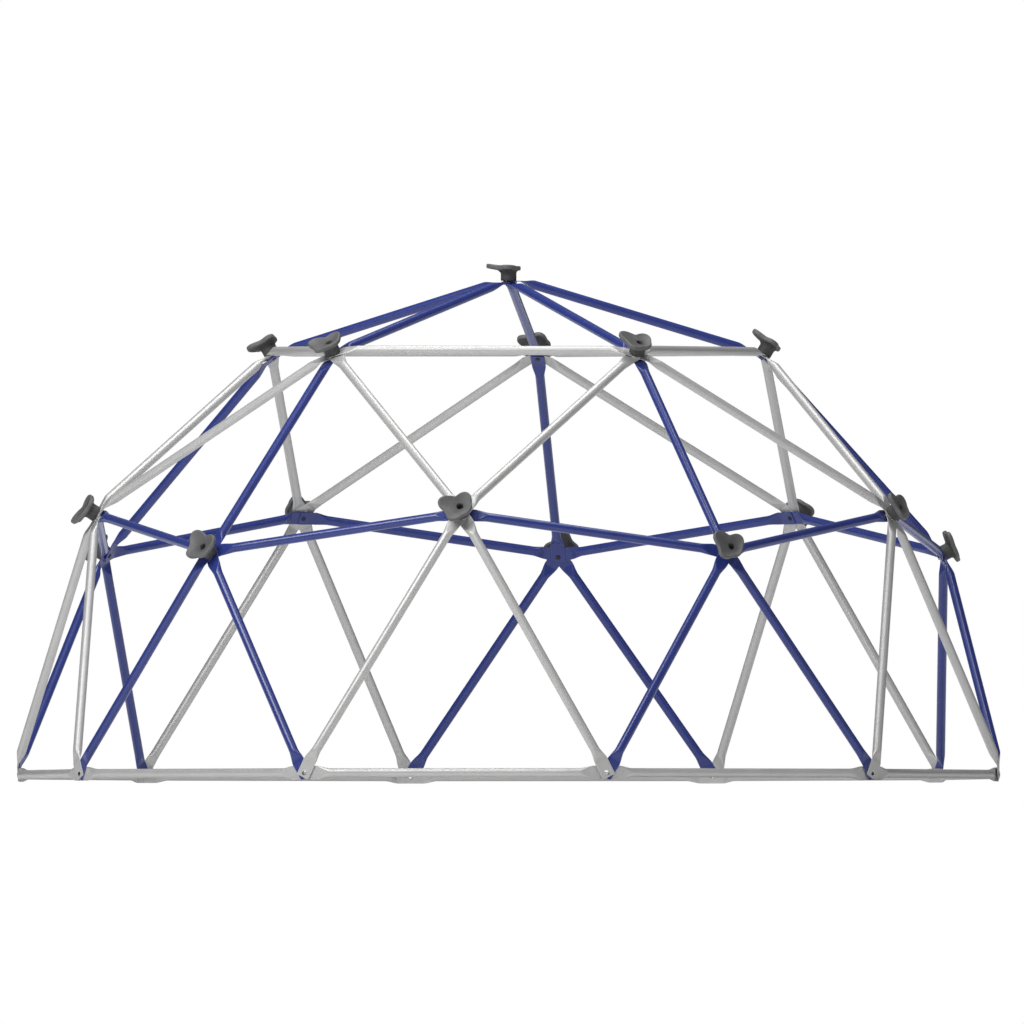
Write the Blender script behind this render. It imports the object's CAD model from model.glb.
# %% [markdown]
# # A geodesic dome climber
# Sixty-five steel tubes with pressed, drilled ends meet at twenty-six hubs. Sixteen of the hubs are bolted
# and carry a plastic climbing grip, and the ten on the ground are riveted. The dome's frame comes from a
# CAD model that never moves. Each piece in this lesson is laid over its CAD piece, with the roundness,
# pressed necks and finishes that the CAD leaves out.

# %% Load the frame
from math import asin, atan2, cos, degrees, pi, radians, sin, sqrt, tan

import bpy
import numpy as np
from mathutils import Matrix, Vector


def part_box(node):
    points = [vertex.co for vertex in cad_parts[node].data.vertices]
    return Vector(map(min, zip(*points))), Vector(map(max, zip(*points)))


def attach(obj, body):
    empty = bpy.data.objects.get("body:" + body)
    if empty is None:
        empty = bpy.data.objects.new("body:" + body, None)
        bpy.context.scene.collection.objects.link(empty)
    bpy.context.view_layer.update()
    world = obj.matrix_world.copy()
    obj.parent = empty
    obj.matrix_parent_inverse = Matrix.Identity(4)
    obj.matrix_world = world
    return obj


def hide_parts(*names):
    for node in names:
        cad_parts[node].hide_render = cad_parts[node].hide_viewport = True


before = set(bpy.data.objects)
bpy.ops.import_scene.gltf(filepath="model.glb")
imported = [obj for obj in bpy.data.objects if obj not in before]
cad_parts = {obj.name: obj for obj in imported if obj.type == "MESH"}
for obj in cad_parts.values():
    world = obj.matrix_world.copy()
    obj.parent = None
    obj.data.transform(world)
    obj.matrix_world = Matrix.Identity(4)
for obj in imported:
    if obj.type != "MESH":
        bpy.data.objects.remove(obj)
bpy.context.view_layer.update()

# %% [markdown]
# ## Sizes
# The tube is a common 28 mm steel tube. Pressed flat, it keeps the length of its skin, so the flat end is
# wider than the tube: half of the skin's length goes to each face. The ends are stacked on one fastener, a
# layer apart. The dome's radius and the height of its lowest hubs aren't typed in: they are measured from
# the frame, so the lesson still fits if the CAD model is made larger.

# %% Tube and stack sizes
MM = 0.001
tube_diameter = 28 * MM
tube_wall = 1.2 * MM
plate_thickness = 2 * tube_wall
plate_width = plate_thickness + pi * (tube_diameter - plate_thickness) / 2
coat_gap = 0.1 * MM
layer_pitch = plate_thickness + coat_gap

ends_at_hub = {"apex": 5, "crown": 6, "low_belt": 5, "high_belt": 6, "ground": 4}


def layer_height(kind, layer):
    """Height of the middle of a layer above its hub point, outwards; layer 0 is the outermost."""
    return ((ends_at_hub[kind] - 1) / 2 - layer) * layer_pitch


def stack_face(kind):
    """Height of the outer face of a hub's stack above the hub point."""
    return layer_height(kind, 0) + plate_thickness / 2


rivet_low, rivet_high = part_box("ground_rivets")
# The rivets stand in the middle of their stacks, so the middle of their box is as high as the lowest hubs.
ground_hub_height = (rivet_low.z + rivet_high.z) / 2
dome_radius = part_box("apex_grip")[0].z - stack_face("apex") - ground_hub_height
print(f"dome radius {dome_radius:.4f} m, lowest hubs {ground_hub_height:.4f} m up, "
      f"plate {plate_width:.4f} m wide")

# %% [markdown]
# ## Where the hubs are
# The dome is half of an icosahedron whose twenty triangles are each cut into four and blown out on to a
# sphere. That puts one hub at the top, a crown of five, a belt of ten that steps up and down, and ten on
# the ground. Only two distances are left between neighbours, so a whole dome needs only two lengths of
# tube.

# %% Hub directions
golden = (1 + sqrt(5)) / 2
crown_reach = 1 / sqrt(golden ** 2 + 1)
crown_rise = golden / sqrt(golden ** 2 + 1)
low_belt_reach = 2 / sqrt(5)
low_belt_rise = 1 / sqrt(5)
fifth_turn = 72
crown_azimuth = 18
high_belt_azimuth = 54


def direction(azimuth, reach, rise):
    """Unit vector at an azimuth in degrees, a reach from the dome's axis and a rise above its middle."""
    return np.array([reach * cos(radians(azimuth)), reach * sin(radians(azimuth)), rise])


def hub_direction(kind, number):
    """Unit vector from the middle of the sphere to a hub. Numbers run anticlockwise, seen from above."""
    if kind == "apex":
        return np.array([0.0, 0.0, 1.0])
    if kind == "crown":
        return direction(crown_azimuth + fifth_turn * number, crown_reach, crown_rise)
    if kind == "low_belt":
        return direction(crown_azimuth + fifth_turn * number, low_belt_reach, low_belt_rise)
    if kind == "high_belt":
        return direction(high_belt_azimuth + fifth_turn * number, crown_rise, crown_reach)
    return direction(fifth_turn / 2 * number, 1.0, 0.0)


def hub_place(kind, number):
    """The hub point itself, in the frame."""
    return hub_direction(kind, number) * dome_radius + np.array([0.0, 0.0, ground_hub_height])


print("top hub", hub_place("apex", 0).round(4), "front belt hub", hub_place("high_belt", 3).round(4))

# %% [markdown]
# ## Meshes from grids
# Every new piece is a grid of points that a formula gives all at once. A grid that closes on itself round
# the tube needs its last column joined to its first, so the faces are written with that wrap. The other
# helpers turn points and faces into a mesh, and measure that the mesh is closed and faces outwards: every
# edge meets two faces, and the volume inside comes out positive, only then.

# %% Grid and mesh helpers
def grid_faces(rows, columns, wrap_rows=False):
    """Four-cornered faces of a grid whose columns close on themselves, as an array of point numbers."""
    row = np.arange(rows if wrap_rows else rows - 1)[:, None]
    column = np.arange(columns)[None, :]
    below, after = (row + 1) % rows, (column + 1) % columns
    corners = [row * columns + column, row * columns + after,
               below * columns + after, below * columns + column]
    return np.stack([np.broadcast_to(c, (len(row), columns)) for c in corners], axis=-1).reshape(-1, 4)


def volume_inside(points, faces):
    """Volume that faces close off, by adding up the tetrahedra from the origin to each half of every face."""
    a, b, c, d = (points[faces[:, k]] for k in range(4))
    halves = np.einsum("ij,ij->i", a, np.cross(b, c)) + np.einsum("ij,ij->i", a, np.cross(c, d))
    return halves.sum() / 6


def open_edges(faces):
    """Number of edges that don't meet exactly one other face the right way round."""
    ahead = np.concatenate([faces[:, [k, (k + 1) % 4]] for k in range(4)])
    ahead = ahead[ahead[:, 0] != ahead[:, 1]]
    size = int(faces.max()) + 1
    there, back = ahead[:, 0] * size + ahead[:, 1], ahead[:, 1] * size + ahead[:, 0]
    return int(len(there) - np.isin(there, back).sum() + len(there) - len(np.unique(there)))


def make_piece(name, points, faces, finish, marks=None, sharp_degrees=32):
    """One mesh object from points and four-cornered faces, with a finish and named values on its points.
    A face whose neighbouring corners are the same point is a triangle."""
    used, faces = np.unique(faces, return_inverse=True)
    faces = faces.reshape(-1, 4)
    points = points[used]
    corner_lists = [[c for k, c in enumerate(face) if c != face[k - 1]] for face in faces.tolist()]
    mesh = bpy.data.meshes.new(name)
    mesh.from_pydata(points, [], corner_lists)
    for mark, values in (marks or {}).items():
        kind, field = ("FLOAT_VECTOR", "vector") if values.ndim == 2 else ("FLOAT", "value")
        layer = mesh.attributes.new(mark, kind, "POINT")
        layer.data.foreach_set(field, values[used].astype(np.float32).ravel())
    mesh.shade_smooth()
    mesh.set_sharp_from_angle(angle=radians(sharp_degrees))
    mesh.materials.append(finish)
    piece = bpy.data.objects.new(name, mesh)
    bpy.context.scene.collection.objects.link(piece)
    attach(piece, "root")
    return piece


# %% [markdown]
# ## Finishes
# A finish is a small tree of nodes around one Principled shader. Values that are the same all over are set
# on the shader itself. What changes over the surface, such as a faint mottle, grain along the tube or the
# wear on an edge, comes from noise that is read at the piece's own place. The tubes carry that place as a
# named value on their points, so the grain follows each tube whichever way it runs.

# %% Node helpers
def start_finish(name, **shader_values):
    """A new material, its node tree and its Principled shader, with the given sockets set."""
    finish = bpy.data.materials.new(name)
    finish.use_nodes = True
    shader = finish.node_tree.nodes["Principled BSDF"]
    for socket, value in shader_values.items():
        shader.inputs[socket.replace("_", " ")].default_value = value
    return finish, finish.node_tree, shader


def feed(tree, socket, value):
    """Sets a socket to a plain value, or links another node's output to it."""
    if isinstance(value, bpy.types.NodeSocket):
        tree.links.new(value, socket)
    else:
        socket.default_value = value


def noise(tree, place, scale, detail=2.0, roughness=0.5):
    """Noise from 0 to 1 with about one bump to 1/scale metres."""
    node = tree.nodes.new("ShaderNodeTexNoise")
    tree.links.new(place, node.inputs["Vector"])
    for socket, value in (("Scale", scale), ("Detail", detail), ("Roughness", roughness)):
        node.inputs[socket].default_value = value
    return node.outputs["Fac"]


def spread(tree, value, low, high, from_low=0.3, from_high=0.7):
    """Stretches a value between two ends, and holds it there."""
    node = tree.nodes.new("ShaderNodeMapRange")
    feed(tree, node.inputs["Value"], value)
    ends = {"From Min": from_low, "From Max": from_high, "To Min": low, "To Max": high}
    for socket, number in ends.items():
        node.inputs[socket].default_value = number
    return node.outputs["Result"]


def reckon(tree, operation, one, other):
    """Result of one of the Math node's operations on two values."""
    node = tree.nodes.new("ShaderNodeMath")
    node.operation = operation
    feed(tree, node.inputs[0], one)
    feed(tree, node.inputs[1], other)
    return node.outputs["Value"]


def times(tree, one, other):
    """Product of two values."""
    return reckon(tree, "MULTIPLY", one, other)


def plus(tree, one, other):
    """Sum of two values."""
    return reckon(tree, "ADD", one, other)


def blend(tree, share, one, other):
    """Mixes two colours by a share from 0 to 1."""
    node = tree.nodes.new("ShaderNodeMix")
    node.data_type = "RGBA"
    feed(tree, node.inputs["Factor"], share)
    colours = [s for s in node.inputs if s.type == "RGBA"]
    for socket, colour in zip(colours, (one, other)):
        feed(tree, socket, (*colour, 1.0) if isinstance(colour, tuple) else colour)
    return [s for s in node.outputs if s.type == "RGBA"][0]


def bump(tree, height, depth, strength=1.0, under=None):
    """Tilts the surface as if the height stood that many metres tall."""
    node = tree.nodes.new("ShaderNodeBump")
    feed(tree, node.inputs["Height"], height)
    node.inputs["Distance"].default_value = depth
    node.inputs["Strength"].default_value = strength
    if under is not None:
        tree.links.new(under, node.inputs["Normal"])
    return node.outputs["Normal"]


def mark_value(tree, name, output="Fac"):
    """Value that the piece's points carry under a name."""
    node = tree.nodes.new("ShaderNodeAttribute")
    node.attribute_name = name
    return node.outputs[output]


def stretched(tree, place, along):
    """The place with its first direction scaled, so that noise draws out along it."""
    node = tree.nodes.new("ShaderNodeMapping")
    tree.links.new(place, node.inputs["Vector"])
    node.inputs["Scale"].default_value = (along, 1.0, 1.0)
    return node.outputs["Vector"]


# %% [markdown]
# ### Coated tube
# Both tube finishes are coats on steel. A sprayed coat never dries quite flat: close up it has the fine,
# soft ripple that painters call orange peel. It thins over the sharp edges of the pressed ends, where it is
# paler and rougher. Each tube was sprayed and handled on its own, so a slow noise makes every one slightly
# different. The ripple is kept low, because a strong one on a tube this thin breaks its long highlight into
# glitter.

# %% Tube finishes
peel_depth = 0.01 * MM
shine_change = 0.03
edge_roughness = 0.18


def coated_steel(name, deep, pale, worn, shine, grain_share, **shader_values):
    """A sprayed coat on a tube. Colour runs between deep and pale by a slow mottle and a fine grain drawn out
    along the tube, and gives way to worn on the edges. Shine is the middle of the roughness."""
    finish, tree, shader = start_finish(name, **shader_values)
    place = mark_value(tree, "tube_place", "Vector")
    mottle = noise(tree, place, 14, detail=3)
    grain = noise(tree, stretched(tree, place, 0.03), 900, detail=3)
    speck = noise(tree, place, 1500, detail=1)
    tone = plus(tree, times(tree, mottle, 1 - grain_share), times(tree, grain, grain_share))
    colour = blend(tree, spread(tree, tone, 0.0, 1.0), deep, pale)
    ragged = spread(tree, noise(tree, place, 420, detail=4), 0.0, 1.0, 0.42, 0.62)
    edge = times(tree, mark_value(tree, "edge"), ragged)
    feed(tree, shader.inputs["Base Color"], blend(tree, edge, colour, worn))
    uneven = spread(tree, noise(tree, place, 60, detail=4), shine - shine_change, shine + shine_change)
    feed(tree, shader.inputs["Roughness"], plus(tree, uneven, times(tree, edge, edge_roughness)))
    ripple = bump(tree, noise(tree, place, 320, detail=1), peel_depth, 0.4)
    ripple = bump(tree, grain, peel_depth * 0.2, grain_share, ripple)
    feed(tree, shader.inputs["Normal"], bump(tree, speck, peel_depth * 0.3, 0.3, ripple))
    return finish


blue_coat = coated_steel(
    "blue_coat", deep=(0.015, 0.027, 0.160), pale=(0.019, 0.034, 0.188), worn=(0.045, 0.065, 0.25),
    shine=0.36, grain_share=0.1, Specular_IOR_Level=0.35, Coat_Weight=0.35, Coat_Roughness=0.16)
silver_coat = coated_steel(
    "silver_coat", deep=(0.44, 0.44, 0.437), pale=(0.475, 0.475, 0.471), worn=(0.58, 0.58, 0.575),
    shine=0.44, grain_share=0.2, Metallic=0.4, Specular_IOR_Level=0.4)
print("tube finishes:", blue_coat.name, silver_coat.name)

# %% [markdown]
# ### Moulded plastic and plated fasteners
# The grips are moulded in a charcoal plastic with a stippled skin, rough enough to hold on to, and rubbed
# smoother and paler where hands land on the rim. The fasteners are plated steel: a metal whose roughness
# and tint wander a little, which is what a zinc bath leaves behind. Grime collects in the bores of the
# rivets.

# %% Grip and fastener finishes
stipple_depth = 0.16 * MM
swirl_depth = 0.3 * MM
scratch_depth = 0.03 * MM
roughness_change = 0.08


def moulded_plastic():
    """Charcoal plastic with a stippled skin and pale flecks, rubbed smoother and paler along the rim."""
    finish, tree, shader = start_finish("grip_plastic", Specular_IOR_Level=0.35)
    place = tree.nodes.new("ShaderNodeTexCoord").outputs["Object"]
    stipple = noise(tree, place, 620, detail=2)
    cloud = noise(tree, place, 45, detail=4)
    fleck = spread(tree, noise(tree, place, 1300, detail=1), 0.0, 0.35, 0.52, 0.72)
    colour = blend(tree, spread(tree, cloud, 0.0, 1.0), (0.046, 0.046, 0.047), (0.062, 0.062, 0.063))
    colour = blend(tree, fleck, colour, (0.11, 0.11, 0.11))
    rubbed = times(tree, mark_value(tree, "edge"), spread(tree, cloud, 0.7, 1.0))
    feed(tree, shader.inputs["Base Color"], blend(tree, rubbed, colour, (0.112, 0.112, 0.113)))
    roughness = plus(tree, spread(tree, stipple, 0.58, 0.72), times(tree, rubbed, -0.12))
    feed(tree, shader.inputs["Roughness"], roughness)
    swirl = bump(tree, noise(tree, place, 210, detail=3), swirl_depth, 0.35)
    feed(tree, shader.inputs["Normal"], bump(tree, stipple, stipple_depth, 0.6, swirl))
    return finish


def plated_steel(name, deep, pale, shine):
    """Plated steel whose tint and roughness wander, with fine scratches, and grime where it is marked."""
    finish, tree, shader = start_finish(name, Metallic=0.9)
    place = tree.nodes.new("ShaderNodeTexCoord").outputs["Object"]
    cloud = noise(tree, place, 260, detail=4)
    scratch = noise(tree, stretched(tree, place, 0.12), 2600, detail=2)
    colour = blend(tree, spread(tree, cloud, 0.0, 1.0), deep, pale)
    grime = times(tree, mark_value(tree, "grime"), spread(tree, cloud, 0.8, 1.0))
    feed(tree, shader.inputs["Base Color"], blend(tree, grime, colour, (0.02, 0.02, 0.021)))
    roughness = spread(tree, cloud, shine - roughness_change, shine + roughness_change)
    feed(tree, shader.inputs["Roughness"], roughness)
    feed(tree, shader.inputs["Normal"], bump(tree, scratch, scratch_depth, 0.5))
    return finish


grip_plastic = moulded_plastic()
bright_zinc = plated_steel("bright_zinc", (0.55, 0.56, 0.57), (0.78, 0.78, 0.77), 0.3)
black_zinc = plated_steel("black_zinc", (0.018, 0.018, 0.02), (0.05, 0.05, 0.052), 0.42)
print("other finishes:", grip_plastic.name, bright_zinc.name, black_zinc.name)

# %% [markdown]
# ## Tubes
# A press squeezes each end of a round tube flat between two dies. The skin doesn't stretch, so every
# section from round to flat is a racetrack shape of the same length round: two straight faces joined by two
# half circles. Bending the flat at a crease lays it against the hub. The surface is that section carried
# along the tube's line, and one grid does a whole tube. Cutting a block of cells out of both faces, drawing
# its edge on to a circle and walling it in makes the hole without a boolean. The holes on the ground are
# wider than the others.

# %% Holes
hole_play = 0.6 * MM
thread_play = 0.2 * MM
bolt_diameter = 6 * MM
barrel_wall = 1.2 * MM
nut_bore = bolt_diameter + thread_play
barrel_diameter = nut_bore + 2 * barrel_wall
rivet_bore = 12.8 * MM
rivet_wall = 0.8 * MM
rivet_diameter = rivet_bore + 2 * rivet_wall


def hole_diameter(kind):
    """Width of the hole in a tube's end: a nut's barrel goes through it, or on the ground a hollow rivet."""
    return (rivet_diameter if kind == "ground" else barrel_diameter) + hole_play


print(f"holes: {hole_diameter('crown') / MM:.1f} mm, on the ground {hole_diameter('ground') / MM:.1f} mm")

# %% Pressed section
cells_per_half_face = 9
side_share = plate_thickness / tube_diameter
face_shares = np.linspace(side_share, 1.0, cells_per_half_face + 1)
quarter_shares = np.concatenate([[0.0, side_share / 2], face_shares])
quarter_cells = len(quarter_shares) - 1
ring_points = 4 * quarter_cells


def pressed_section(width, thickness):
    """Points round a racetrack section, one row to a station: half circles as thick as the section, joined by
    straight faces. Each point keeps its share of the way round, so its line runs true from flat to round."""
    half_thickness = thickness[:, None] / 2
    half_straight = (width - thickness)[:, None] / 2
    way = quarter_shares * (half_straight + pi / 2 * half_thickness)
    angle = np.minimum(way / half_thickness, pi / 2)
    across = half_straight + half_thickness * np.cos(angle) - np.maximum(way - pi / 2 * half_thickness, 0)
    up = half_thickness * np.sin(angle)
    back = slice(None, None, -1)
    ring_across = [across, -across[:, back][:, 1:], -across[:, 1:], across[:, back][:, 1:-1]]
    ring_up = [up, up[:, back][:, 1:], -up[:, 1:], -up[:, back][:, 1:-1]]
    return np.concatenate(ring_across, axis=1), np.concatenate(ring_up, axis=1)


print("points round a tube:", ring_points)

# %% [markdown]
# Stations are the places along the tube at which the section is drawn. They lie close together where the
# shape changes fast: over the rounded corners, round the hole, over the crease and up the neck. The crease
# lies where the plates of a hub's narrowest pair of tubes have just parted, so a tube never bends on to its
# neighbour.

# %% Stations along one end
end_margin = 14 * MM
corner_radius = 5 * MM
edge_break = 0.35 * MM
neck_length = 40 * MM
crease_play = 2 * MM
hole_cells = 3
hole_step = (plate_width - plate_thickness) / 2 / cells_per_half_face
steepest = atan2(low_belt_rise, low_belt_reach * sin(radians(crown_azimuth)))
crease_reach = plate_width / 2 / tan(steepest / 2) + crease_play
neck_end = crease_reach + neck_length

corner_steps = np.array([0.0, edge_break, 0.2 * corner_radius, 0.5 * corner_radius, corner_radius])
corner_stations = -end_margin + corner_steps
hole_stations = hole_step * np.arange(-hole_cells, hole_cells + 1)
first_hole_row = len(corner_stations)
plate_stations = [12 * MM, 24 * MM]
crease_stations = crease_reach + crease_play * np.linspace(-1, 1, 7)
neck_stations = np.linspace(crease_reach + crease_play, neck_end, 13)[1:]
stations = np.concatenate([corner_stations, hole_stations, plate_stations, crease_stations, neck_stations])
middle_rows = 11
print(f"crease {crease_reach / MM:.1f} mm from the hole, round from {neck_end / MM:.1f} mm, "
      f"{len(stations)} stations")


# %% [markdown]
# The thickness of the neck rises from flat to round along a curve between a straight line and an S, and the
# width follows from it, because the skin's length is fixed. At the very end the section narrows to round
# the corners of the plate.

# %% One end of a tube
even_share = 0.45


def ease(share):
    """Smooth step from 0 to 1."""
    return share * share * (3 - 2 * share)


def end_surface(bend, hole_radius):
    """Points of one pressed end, station by station, with the hole at the origin, the tube running off along
    +X, and +Z outwards. Its middle line is straight, turns down by the bend over the crease, and runs on."""
    share = np.clip((stations - crease_reach) / neck_length, 0, 1)
    swell = even_share * share + (1 - even_share) * ease(share)
    thickness = plate_thickness + (tube_diameter - plate_thickness) * swell
    width = thickness + pi * (tube_diameter - thickness) / 2
    from_end = np.clip(corner_radius - (stations + end_margin), 0, corner_radius)
    width = width - 2 * (corner_radius - np.sqrt(corner_radius ** 2 - from_end ** 2))
    width[0] -= 2 * edge_break
    thickness[0] -= 2 * edge_break
    turned = bend * np.clip((stations - crease_reach + crease_play) / (2 * crease_play), 0, 1)
    step = np.diff(stations, prepend=stations[0])
    halfway = (turned + np.concatenate([[0.0], turned[:-1]])) / 2
    middle_x = stations[0] + np.cumsum(step * np.cos(halfway))
    middle_z = -np.cumsum(step * np.sin(halfway))
    across, up = pressed_section(width, thickness)
    x = middle_x[:, None] + up * np.sin(turned)[:, None]
    z = middle_z[:, None] + up * np.cos(turned)[:, None]
    return drill(np.stack([x, across, z], axis=-1), hole_radius)


def drill(points, hole_radius):
    """Draws the edge of the middle block of cells on to the hole's circle, on both faces."""
    rows = first_hole_row + np.arange(2 * hole_cells + 1)
    for face_middle in (quarter_cells, 3 * quarter_cells):
        columns = face_middle + np.arange(-hole_cells, hole_cells + 1)
        block = points[np.ix_(rows, columns)]
        angle = np.arctan2(block[..., 1], block[..., 0])
        on_edge = np.maximum(np.abs(block[..., 0]), np.abs(block[..., 1])) > (hole_cells - 0.5) * hole_step
        block[..., 0] = np.where(on_edge, hole_radius * np.cos(angle), block[..., 0])
        block[..., 1] = np.where(on_edge, hole_radius * np.sin(angle), block[..., 1])
        points[np.ix_(rows, columns)] = block
    return points


# %% [markdown]
# The faces are the same for every tube, so they are worked out once: the grid itself without the cells of
# the four hole blocks, a wall inside each hole, and a strip across the thickness that closes each cut end.

# %% Faces shared by every tube
def block_loop(first_row, face_middle):
    """Point numbers once round the edge of a hole's block of cells, as on a grid of the whole tube."""
    side = np.arange(-hole_cells, hole_cells)
    middle_row = first_row + hole_cells
    rows = np.concatenate([side, np.full(len(side), hole_cells), -side, np.full(len(side), -hole_cells)])
    columns = np.concatenate([np.full(len(side), -hole_cells), side, np.full(len(side), hole_cells), -side])
    return (middle_row + rows) * ring_points + face_middle + columns


def tube_faces():
    """Faces of one tube's grid, from the cut end at one hub to the cut end at the other."""
    rows = 2 * len(stations) + middle_rows
    faces = grid_faces(rows, ring_points)
    row, column = np.divmod(np.arange(len(faces)), ring_points)
    keep = np.ones(len(faces), bool)
    walls = []
    for first_row in (first_hole_row, rows - 1 - first_hole_row - 2 * hole_cells):
        for face_middle in (quarter_cells, 3 * quarter_cells):
            in_rows = (row >= first_row) & (row < first_row + 2 * hole_cells)
            in_columns = (column >= face_middle - hole_cells) & (column < face_middle + hole_cells)
            keep &= ~(in_rows & in_columns)
        upper = block_loop(first_row, quarter_cells)
        lower = mirrored_loop(block_loop(first_row, 3 * quarter_cells))
        walls.append(np.stack([upper, lower, np.roll(lower, -1), np.roll(upper, -1)], axis=-1))
    strip = np.arange(2 * quarter_cells)
    facing = -strip % ring_points
    facing_next = -(strip + 1) % ring_points
    near_cap = np.stack([strip, facing, facing_next, strip + 1], axis=-1)
    far_cap = (rows - 1) * ring_points + near_cap[:, ::-1]
    return np.concatenate([faces[keep], *walls, near_cap, far_cap])


def mirrored_loop(loop):
    """The lower face's columns run the other way across the plate, so its loop is read in mirror order."""
    row, column = np.divmod(loop, ring_points)
    return row * ring_points + 6 * quarter_cells - column


shared_faces = tube_faces()
print("faces to a tube:", len(shared_faces))


# %% [markdown]
# A tube is made lying along X with the outside of the dome up, and a matrix of three directions carries it
# to its place. The end at the far hub is the same surface, mirrored end for end. A few rows go between the
# ends, so that no face is a very long, thin sliver.

# %% One whole tube
def tube_surface(from_end, to_end):
    """Points of a tube between two hubs, and its place along itself. Each end is (kind, number, layer)."""
    start, stop = hub_direction(*from_end[:2]), hub_direction(*to_end[:2])
    chord = np.linalg.norm(stop - start) * dome_radius
    along = (stop - start) / np.linalg.norm(stop - start)
    outward = (stop + start) / np.linalg.norm(stop + start)
    across = np.cross(outward, along)
    middle = (start + stop) / 2 * dome_radius + np.array([0.0, 0.0, ground_hub_height])
    lean = asin(chord / 2 / dome_radius)
    height_from, height_to = layer_height(from_end[0], from_end[2]), layer_height(to_end[0], to_end[2])
    rise = (height_to - height_from) * cos(lean)
    run = chord + (height_from + height_to) * sin(lean) - 2 * crease_reach * cos(lean)
    slope = atan2(rise, run)
    hole_from, hole_to = hole_diameter(from_end[0]) / 2, hole_diameter(to_end[0]) / 2
    near = carry_end(end_surface(lean - slope, hole_from), chord, lean, height_from)
    far = carry_end(end_surface(lean + slope, hole_to), chord, lean, height_to)
    far = far * np.array([-1.0, 1.0, 1.0])
    shares = np.linspace(0, 1, middle_rows + 2)[1:-1, None, None]
    between = near[-1] + (far[-1] - near[-1]) * shares
    local = np.concatenate([near, between, far[::-1]]).reshape(-1, 3)
    return local, middle + local @ np.stack([along, across, outward])


def carry_end(points, chord, lean, height):
    """Lifts an end to its layer and tilts it on to the hub at the -X end of a tube lying along X."""
    x, y, z = points[..., 0], points[..., 1], points[..., 2] + height
    return np.stack([x * cos(lean) - z * sin(lean) - chord / 2, y, x * sin(lean) + z * cos(lean)], axis=-1)


trial_local, trial_points = tube_surface(("crown", 3, 0), ("crown", 4, 1))
print(f"trial tube: {volume_inside(trial_points, shared_faces) * 1e6:.1f} cm3, "
      f"{open_edges(shared_faces)} open edges, {np.ptp(trial_local[:, 0]):.4f} m long")


# %% [markdown]
# The coat is thinnest on the outline of the pressed plate. A value on each point says how near it is to
# that outline, so the finish can wear there. It is worked out from the place along and across the tube.

# %% Edge wear on a tube
wear_width = 2.5 * MM


def tube_edge(local):
    """1 on the outline of a pressed end, falling to 0 a few millimetres inside it and along the neck."""
    from_cut = (np.abs(local[:, 0]).max() - np.abs(local[:, 0])) / wear_width
    # 1 on the plate, falling to 0 over the neck.
    in_plate = np.clip(2 - from_cut * wear_width / crease_reach, 0, 1)
    from_side = (plate_width / 2 - np.abs(local[:, 1])) / wear_width
    return np.clip(1 - np.minimum(from_cut, from_side), 0, 1) * np.where(from_side > -1, in_plate, 0)


# %% [markdown]
# ### Which tube goes where
# Layer numbers say which end lies on which: at a crown hub, the two crown tubes are outside the two braces,
# and the blue tubes are inside them. Of the two belt tubes at a high hub, the one towards the back is
# innermost. Braces, belt tubes, legs and ground tubes are made in pairs, as in the CAD.

# %% Layout of the tubes
def tube_layout():
    """Name of each CAD piece, with its finish and its tubes as pairs of ends (kind, number, layer)."""
    layout = {}
    for i in range(5):
        after, number = (i + 1) % 5, i + 1
        on_the_left = hub_direction("high_belt", i)[0] < -0.1
        belt_layers = (5, 4) if on_the_left else (4, 5)
        layout[f"apex_tube_{number}"] = ("blue_coat", [(("apex", 0, i), ("crown", i, 4))])
        layout[f"crown_tube_{number}"] = ("silver_coat", [(("crown", i, 0), ("crown", after, 1))])
        layout[f"shoulder_tube_{number}"] = ("blue_coat", [(("crown", i, 5), ("low_belt", i, 4))])
        layout[f"upper_brace_pair_{number}"] = ("silver_coat", [
            (("crown", i, 2), ("high_belt", i, 0)),
            (("crown", after, 3), ("high_belt", i, 1))])
        layout[f"belt_pair_{number}"] = ("blue_coat", [
            (("low_belt", i, 2), ("high_belt", i, belt_layers[0])),
            (("low_belt", after, 3), ("high_belt", i, belt_layers[1]))])
        layout[f"blue_leg_pair_{number}"] = ("blue_coat", [
            (("low_belt", i, 0), ("ground", 2 * i, 1)),
            (("low_belt", i, 1), ("ground", 2 * i + 1, 1))])
        layout[f"silver_leg_pair_{number}"] = ("silver_coat", [
            (("high_belt", i, 2), ("ground", 2 * i + 1, 0)),
            (("high_belt", i, 3), ("ground", 2 * i + 2, 0))])
        layout[f"ground_tube_pair_{number}"] = ("silver_coat", [
            (("ground", 2 * i, 2), ("ground", 2 * i + 1, 3)),
            (("ground", 2 * i + 1, 2), ("ground", 2 * i + 2, 3))])
    return layout


def misfit(piece, node):
    """Largest distance between a side of a piece's box and the same side of its CAD node's box, in metres."""
    points = np.array([v.co for v in piece.data.vertices])
    box_low, box_high = np.array(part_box(node))
    return float(max(np.abs(points.min(0) - box_low).max(), np.abs(points.max(0) - box_high).max()))


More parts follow.
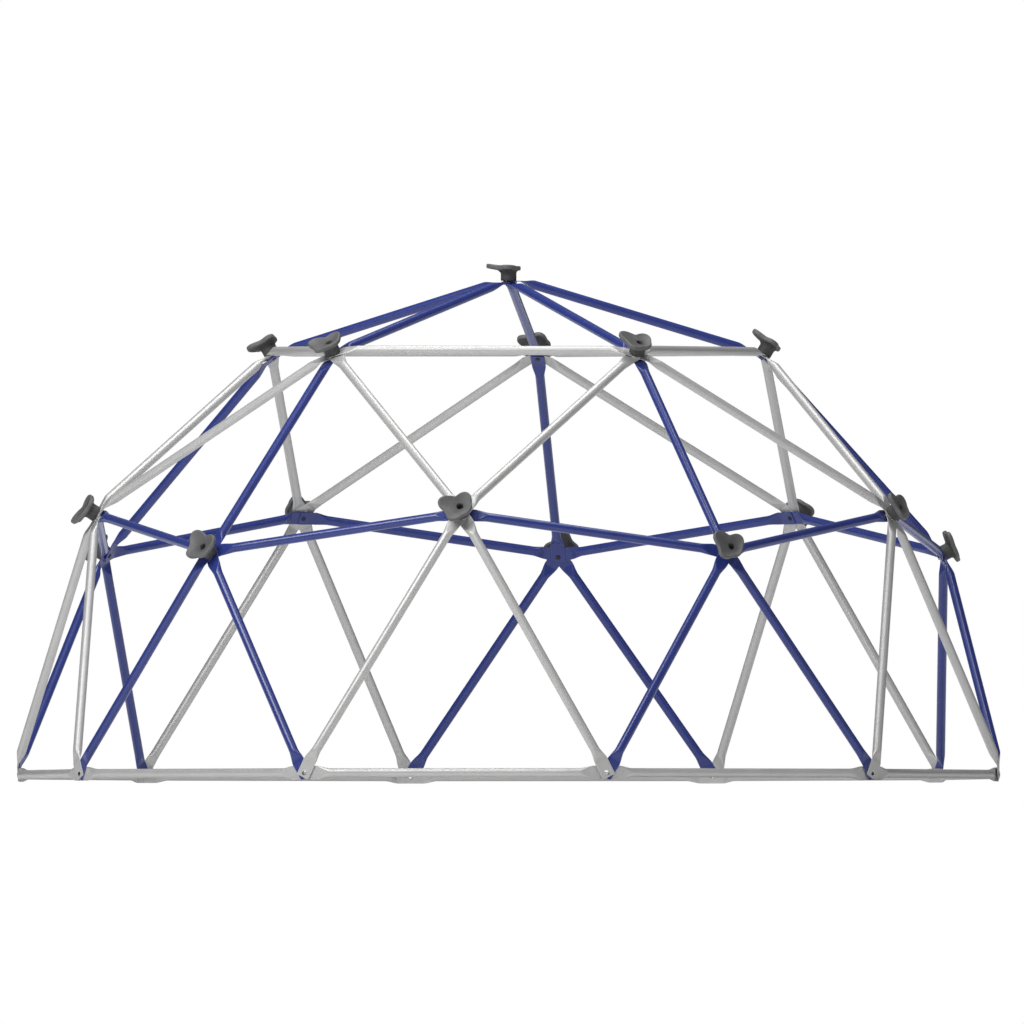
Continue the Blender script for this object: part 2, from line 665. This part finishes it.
# %% Make the tubes
tube_finish = {"blue_coat": blue_coat, "silver_coat": silver_coat}
grain_shift = 0.11
tube_count, worst_tube = 0, 0.0
for node, (coat, tubes) in tube_layout().items():
    points, places, edges, faces = [], [], [], []
    for from_end, to_end in tubes:
        local, placed = tube_surface(from_end, to_end)
        faces.append(shared_faces + len(points) * len(placed))
        points.append(placed)
        places.append(local + np.array([0.0, grain_shift * tube_count, 0.0]))
        edges.append(tube_edge(local))
        tube_count += 1
    piece = make_piece(
        "steel_" + node, np.concatenate(points), np.concatenate(faces), tube_finish[coat],
        {"tube_place": np.concatenate(places), "edge": np.concatenate(edges)})
    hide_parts(node)
    worst_tube = max(worst_tube, misfit(piece, node))
print(f"{tube_count} tubes; the worst box is {worst_tube / MM:.2f} mm off its CAD piece")

# %% [markdown]
# ## Climbing grips
# A grip is a round stem under a dished, three-lobed head, moulded in one piece. The head's outline is a
# circle that swells into lobes: each lobe adds a raised-cosine bump at its own angle. The rim rises with
# the lobes, and a bowl sinks from it to the recess that hides the bolt. One closed grid does it all: a
# profile that starts at the foot, runs up the stem, out under the head, over the rim, down the bowl and
# back through the bolt hole.

# %% Grip outline
stem_radius = 24 * MM
stem_height = 26 * MM
rim_height, rim_radius = 45 * MM, 37 * MM
rim_thickness = 14 * MM
bowl_height = 39 * MM
recess_radius = 10 * MM
recess_floor = 22 * MM
# Each lobe: where it points and how far it spreads, in degrees, then its reach and its rise.
lobes = [(168, 57, 32 * MM, 7 * MM), (66, 56, 14 * MM, 4 * MM), (240, 53, 22 * MM, 4 * MM)]


def swelling(angle, centre, spread_angle):
    """Raised-cosine bump that is 1 at its centre and 0 from its spread outwards, angles in degrees."""
    off = np.abs((angle - centre + 540) % 360 - 180)
    return np.where(off < spread_angle, np.cos(np.radians(90 * off / spread_angle)) ** 2, 0.0)


def rim(angle):
    """Reach and height of the rim at each angle."""
    bumps = [swelling(angle, centre, spread_angle) for centre, spread_angle, _, _ in lobes]
    reach = rim_radius + sum(b * lobe[2] for b, lobe in zip(bumps, lobes))
    height = rim_height + sum(b * lobe[3] for b, lobe in zip(bumps, lobes))
    return reach, height


long_lobe_angle = np.array([float(lobes[0][0])])
print(f"the rim reaches {rim(long_lobe_angle)[0][0] / MM:.0f} mm out at its long lobe")

# %% Grip surface
grip_columns = 96
rim_rounding = 4.5 * MM
bowl_rounding = 2 * MM
corner_break = 1 * MM
head_root = stem_height - 2 * MM


def grip_surface():
    """Points of a grip with its foot at the origin, one row to a station of its profile, and how near each is
    to the rim. A row is its distance out, its height and that nearness. Under the head the height rises fast
    and then levels off, as one less a cube, and in the bowl it falls to the floor as a square."""
    angle = np.arange(grip_columns) * 360 / grip_columns
    reach, height = rim(angle)
    level = np.ones(grip_columns)
    stem = stem_radius * level
    hole = (bolt_diameter + hole_play) / 2 * level
    recess = recess_radius * level
    rows = [(hole, 0 * level, 0), (stem - corner_break, 0 * level, 0), (stem, corner_break * level, 0),
            (stem, 0.5 * stem_height * level, 0), (stem, (head_root - corner_break) * level, 0)]
    under = height - rim_thickness
    for share in np.linspace(0, 1, 10)[1:]:
        out = stem + (reach - rim_rounding - stem) * share
        up = head_root + (under - head_root) * (1 - (1 - share) ** 3)
        rows.append((out, up, 0.5 * share))
    half_straight = rim_thickness / 2 - rim_rounding
    for turn in np.linspace(-70, 90, 9):
        out = reach - rim_rounding * (1 - cos(radians(turn)))
        side = half_straight if turn > 0 else -half_straight
        rows.append((out, height - rim_thickness / 2 + side + rim_rounding * sin(radians(turn)), 1.0))
    lip_out, lip_up = rows[-1][0], rows[-1][1]
    bowl_edge = recess + bowl_rounding
    for share in np.linspace(0, 1, 14)[1:]:
        out = lip_out + (bowl_edge - lip_out) * share
        up = bowl_height + (lip_up - bowl_height) * (1 - share) ** 2
        rows.append((out, up, (1 - share) ** 0.7))
    for turn in (30, 60, 90):
        out = bowl_edge - bowl_rounding * sin(radians(turn))
        rows.append((out, bowl_height * level - bowl_rounding * (1 - cos(radians(turn))), 0))
    floor_height = recess_floor * level
    rows += [(recess, floor_height + corner_break, 0), (recess - corner_break, floor_height, 0),
             (hole, floor_height, 0)]
    out, up = np.array([r[0] for r in rows]), np.array([r[1] for r in rows])
    turn = np.radians(angle)
    points = np.stack([out * np.cos(turn), out * np.sin(turn), up], axis=-1)
    near_rim = np.repeat([r[2] for r in rows], grip_columns)
    return points.reshape(-1, 3), near_rim, len(rows)


grip_points, grip_rim, grip_rows = grip_surface()
grip_faces = grid_faces(grip_rows, grip_columns, wrap_rows=True)
print(f"grip: {volume_inside(grip_points, grip_faces) * 1e6:.1f} cm3, {open_edges(grip_faces)} open edges, "
      f"{np.ptp(grip_points[:, 0]) / MM:.0f} x {np.ptp(grip_points[:, 1]) / MM:.0f} mm")


# %% [markdown]
# At a hub, +Z points outwards along the bolt and +Y towards the top of the dome. Whoever built the dome
# tightened each grip at its own angle, so every hub has a turn of its own.

# %% Carry to a hub, and make the grips
def turned(points, axis, angle):
    """Points turned about X or Z by an angle in degrees."""
    c, s = cos(radians(angle)), sin(radians(angle))
    if axis == "X":
        matrix = np.array([[1, 0, 0], [0, c, -s], [0, s, c]])
    else:
        matrix = np.array([[c, -s, 0], [s, c, 0], [0, 0, 1]])
    return points @ matrix.T


def to_hub(points, kind, number):
    """Carries points made round the origin to a hub, with +Z outwards along its bolt."""
    outward = hub_direction(kind, number)
    if kind != "apex":
        points = turned(points, "X", 90 - degrees(asin(outward[2])))
        points = turned(points, "Z", degrees(atan2(outward[1], outward[0])) + 90)
    return points + hub_place(kind, number)


grip_turns = {"apex": [30], "crown": [-65, -145, 160, 25, -25], "low_belt": [-120, -65, -110, -30, -25],
              "high_belt": [125, 10, 65, 0, -20]}
worst_grip = 0.0
for kind, turns in grip_turns.items():
    for number, turn in enumerate(turns):
        node = "apex_grip" if kind == "apex" else f"{kind}_grip_{number + 1}"
        lifted = turned(grip_points, "Z", turn) + np.array([0.0, 0.0, stack_face(kind)])
        piece = make_piece(
            "moulded_" + node, to_hub(lifted, kind, number), grip_faces, grip_plastic,
            {"edge": grip_rim}, sharp_degrees=50)
        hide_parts(node)
        worst_grip = max(worst_grip, misfit(piece, node))
print(f"16 grips; the worst box is {worst_grip / MM:.2f} mm off its CAD piece")

# %% [markdown]
# ## Bolts, nuts and rivets
# A button-head bolt goes down through each grip into a barrel nut: a low round cap inside the dome, with a
# tapped barrel that fills the hole through the stack, so nothing sticks out for a climber to catch on. The
# ground hubs are held by hollow rivets. They are all turned parts, so each surface is a profile spun about
# its axis: the bolt's thread is a chain of small ridges. Only the socket in the head is a hexagon. There
# the radius depends on the angle, as the distance to the flat divided by the cosine of the angle from its
# middle.

# %% Fastener surfaces
head_diameter, head_height, socket_across = 14 * MM, 4.4 * MM, 5 * MM
thread_pitch, thread_depth = 1.0 * MM, 0.5 * MM
bolt_stop = 1.5 * MM
cap_diameter, cap_height, barrel_short = 14.4 * MM, 2 * MM, 1 * MM
rivet_lip, rivet_lip_thickness = 1.6 * MM, 0.6 * MM
edge_round = 0.3 * MM
fastener_columns = 24


def hexagon(across):
    """Distance from the middle to the side of a hexagon at each column's angle."""
    angle = (np.arange(fastener_columns) * 360 / fastener_columns + 30) % 60 - 30
    return across / 2 / np.cos(np.radians(angle))


def spun(rows):
    """Grid of points from rows of (radius, height), where a radius is one number or one for each column."""
    radius = np.array([np.broadcast_to(r, fastener_columns) for r, _ in rows])
    height = np.array([np.full(fastener_columns, h) for _, h in rows])
    turn = np.arange(fastener_columns) * 2 * pi / fastener_columns
    points = np.stack([radius * np.cos(turn), radius * np.sin(turn), height], axis=-1)
    return points.reshape(-1, 3)


def bolt_surface(kind):
    """Button-head bolt at a hub whose middle is the origin, its head on the floor of the grip's recess. The
    head is a slice of a ball, whose radius is (half the width squared + height squared) / (2 * height)."""
    seat = stack_face(kind) + recess_floor
    tip = bolt_stop - stack_face(kind)
    ball = (head_diameter ** 2 / 4 + head_height ** 2) / (2 * head_height)
    socket = hexagon(socket_across)
    socket_floor = seat + 0.45 * head_height
    socket_rim = head_height - ball + sqrt(ball ** 2 - (socket_across / 2 / cos(pi / 6)) ** 2)
    rows = [(0.0, socket_floor), (0.96 * socket, socket_floor),
            (socket, seat + 0.5 * head_height), (socket, seat + socket_rim - 0.2 * MM),
            (socket + 0.25 * MM, seat + socket_rim)]
    for radius in np.linspace(3.6 * MM, head_diameter / 2 - edge_round, 6):
        rows.append((radius, seat + head_height - ball + sqrt(ball ** 2 - radius ** 2)))
    rows += [(head_diameter / 2, seat + 0.35 * MM), (head_diameter / 2 - edge_round, seat),
             (bolt_diameter / 2, seat)]
    ridges = np.arange(stack_face(kind) + 2 * thread_pitch, tip + thread_pitch, -thread_pitch / 2)
    for k, height in enumerate(ridges):
        rows.append((bolt_diameter / 2 - thread_depth * (k % 2), height))
    rows += [(bolt_diameter / 2 - thread_depth, tip + edge_round),
             (bolt_diameter / 2 - 3 * edge_round, tip), (0.0, tip)]
    return spun(rows), len(rows)


def nut_surface(kind):
    """Barrel nut at a hub: its cap bears on the stack's inner face, and its blind barrel stands outwards."""
    seat, top = -stack_face(kind), stack_face(kind) - barrel_short
    bore, barrel, cap = nut_bore / 2, barrel_diameter / 2, cap_diameter / 2
    rounded = 0.55 * cap_height
    rows = [(0.0, seat), (bore, seat), (bore, top - edge_round), (bore + edge_round, top),
            (barrel - edge_round, top), (barrel, top - edge_round), (barrel, seat),
            (cap - 0.2 * MM, seat), (cap, seat - 0.2 * MM)]
    for turn in np.radians([0, 30, 60, 90]):
        rows.append((cap - rounded * (1 - cos(turn)), seat - cap_height + rounded * (1 - sin(turn))))
    rows.append((0.0, seat - cap_height))
    return spun(rows), len(rows)


def rivet_surface(kind):
    """Hollow rivet at a hub: a thin barrel through the stack, rolled out to a lip over both of its faces."""
    face, edge = stack_face(kind), rivet_diameter / 2 + rivet_lip
    half_lip = rivet_lip_thickness / 2
    upper = [(rivet_diameter / 2, face), (edge - half_lip, face), (edge, face + half_lip),
             (edge - half_lip, face + rivet_lip_thickness), (rivet_diameter / 2, face + rivet_lip_thickness),
             (rivet_bore / 2, face + half_lip)]
    rows = upper + [(radius, -height) for radius, height in upper[::-1]]
    return spun(rows), len(rows)


# %% [markdown]
# The same fastener goes through every stack at one kind of hub, so its surface is made once for each kind
# and only carried to the hubs. All fasteners of a kind are one piece, as in the CAD.

# %% Make the bolts, nuts and rivets
def fastener_piece(node, surface_at, kinds, finish, wrap_rows):
    """One piece that holds the same fastener at every hub of the given kinds."""
    points, faces, grime, start = [], [], [], 0
    for kind in kinds:
        surface, rows = surface_at(kind)
        in_bore = np.hypot(surface[:, 0], surface[:, 1]) < 1.01 * rivet_bore / 2
        hub_count = {"apex": 1, "ground": 10}.get(kind, 5)
        pattern = grid_faces(rows, fastener_columns, wrap_rows)
        if volume_inside(surface, pattern) < 0:
            pattern = pattern[:, ::-1]
        for number in range(hub_count):
            points.append(to_hub(surface, kind, number))
            faces.append(pattern + start)
            grime.append(in_bore.astype(float) if kind == "ground" else np.zeros(len(surface)))
            start += len(surface)
    points, faces = np.concatenate(points), np.concatenate(faces)
    piece = make_piece("plated_" + node, points, faces, finish, {"grime": np.concatenate(grime)}, 40)
    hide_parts(node)
    print(f"{node}: {volume_inside(points, faces) * 1e6:.2f} cm3, box {misfit(piece, node) / MM:.2f} mm off")


grip_hubs = ["apex", "crown", "low_belt", "high_belt"]
fastener_piece("grip_bolts", bolt_surface, grip_hubs, black_zinc, wrap_rows=False)
fastener_piece("grip_nuts", nut_surface, grip_hubs, black_zinc, wrap_rows=False)
fastener_piece("ground_rivets", rivet_surface, ["ground"], bright_zinc, wrap_rows=True)

# %% [markdown]
# ## Floor, light and camera
# A plain pale floor and a wide, even light keep the attention on the dome. The world lights the scene
# softly from all round, and area lamps add the direction that shapes the tubes: a key from the front left,
# a weaker fill from the right and one above. A small, high lamp draws the thin bright lines that a glossy
# tube has along its upper side. The floor glows faintly, as a light table does, so the undersides aren't
# black, and glows more far out, where it gets less of the lamps' light. The camera sees only a bright
# backdrop where the world is.

# %% Floor
floor_half = 9.0
glow_near, glow_far = 0.2, 0.8
glow_from, glow_to = 2.2, 7.0
corners = floor_half * np.array([[-1, -1, 0], [1, -1, 0], [1, 1, 0], [-1, 1, 0]], float)
floor_mesh = bpy.data.meshes.new("floor")
floor_mesh.from_pydata(corners, [], [[0, 1, 2, 3]])
floor_finish, floor_tree, floor_shader = start_finish(
    "pale_floor", Roughness=0.85, Specular_IOR_Level=0.2, Emission_Color=(1, 1, 1, 1))
floor_place = floor_tree.nodes.new("ShaderNodeTexCoord").outputs["Object"]
floor_cloud = spread(floor_tree, noise(floor_tree, floor_place, 1.5, detail=3), 0.0, 1.0)
feed(floor_tree, floor_shader.inputs["Base Color"],
     blend(floor_tree, floor_cloud, (0.83, 0.83, 0.83), (0.86, 0.86, 0.86)))
from_middle = floor_tree.nodes.new("ShaderNodeVectorMath")
from_middle.operation = "LENGTH"
feed(floor_tree, from_middle.inputs[0], floor_place)
feed(floor_tree, floor_shader.inputs["Emission Strength"],
     spread(floor_tree, from_middle.outputs["Value"], glow_near, glow_far, glow_from, glow_to))
from_below = floor_tree.nodes.new("ShaderNodeNewGeometry").outputs["Backfacing"]
either = floor_tree.nodes.new("ShaderNodeMixShader")
feed(floor_tree, either.inputs["Fac"], from_below)
feed(floor_tree, either.inputs[1], floor_shader.outputs["BSDF"])
feed(floor_tree, either.inputs[2], floor_tree.nodes.new("ShaderNodeBsdfTransparent").outputs["BSDF"])
feed(floor_tree, floor_tree.nodes["Material Output"].inputs["Surface"], either.outputs["Shader"])
floor_mesh.materials.append(floor_finish)
floor = bpy.data.objects.new("floor", floor_mesh)
bpy.context.scene.collection.objects.link(floor)

# %% World and lamps
scene = bpy.context.scene
world = bpy.data.worlds.new("studio")
scene.world = world
world.use_nodes = True
sky = world.node_tree
backdrop = sky.nodes["Background"]
backdrop.inputs["Color"].default_value = (1, 1, 1, 1)
seen = sky.nodes.new("ShaderNodeLightPath").outputs["Is Camera Ray"]
light_from_all_round, backdrop_brightness = 0.13, 1.0
feed(sky, backdrop.inputs["Strength"], spread(sky, seen, light_from_all_round, backdrop_brightness, 0.0, 1.0))
scene.view_settings.view_transform = "Standard"


def aim_at(thing, target, azimuth, elevation, distance):
    """Puts a lamp or a camera at a bearing and a distance from a target, turned to face it.
    Azimuth 0 is the front and 90 the right, and elevation is the angle above level, in degrees."""
    a, e = radians(azimuth), radians(elevation)
    outwards = np.array([sin(a) * cos(e), -cos(a) * cos(e), sin(e)])
    thing.location = target + outwards * distance
    thing.rotation_euler = (pi / 2 - e, 0, a)
    scene.collection.objects.link(thing)


def lamp(name, azimuth, elevation, distance, width, height, power):
    """Area lamp in metres and watts, aimed at the middle of the dome."""
    data = bpy.data.lights.new(name, "AREA")
    data.shape = "RECTANGLE"
    data.size = width
    data.size_y = height
    data.energy = power
    aim_at(bpy.data.objects.new(name, data), np.array([0, 0, dome_radius / 2]), azimuth, elevation, distance)


lamp("key", azimuth=-30, elevation=36, distance=6.0, width=3.0, height=2.5, power=255)
lamp("fill", azimuth=65, elevation=20, distance=7.0, width=4.0, height=3.0, power=24)
lamp("top", azimuth=0, elevation=89, distance=5.0, width=3.0, height=3.0, power=160)
lamp("sparkle", azimuth=25, elevation=62, distance=6.0, width=0.7, height=0.7, power=40)

# %% [markdown]
# The camera stands a little to the right of the front and so far off that it draws the dome without
# perspective: an orthographic camera does exactly that. It looks up by a quarter of a degree, so that the
# ground tubes at the back show just under the ones in front. The floor's own surface is seen only from
# above.

# %% Camera
camera_azimuth = 6.48
camera_elevation = -0.24
view_width = 2.082 * dome_radius
aim_right = 0.0069 * dome_radius
aim_height = 0.534 * dome_radius + ground_hub_height
camera_distance = 8.0
camera_data = bpy.data.cameras.new("camera")
camera_data.type = "ORTHO"
camera_data.ortho_scale = view_width
camera_data.clip_end = 100
camera = bpy.data.objects.new("camera", camera_data)
bearing = radians(camera_azimuth)
aim = np.array([cos(bearing) * aim_right, sin(bearing) * aim_right, aim_height])
aim_at(camera, aim, camera_azimuth, camera_elevation, camera_distance)
scene.camera = camera
print(f"camera {view_width:.3f} m wide at azimuth {camera_azimuth} degrees")
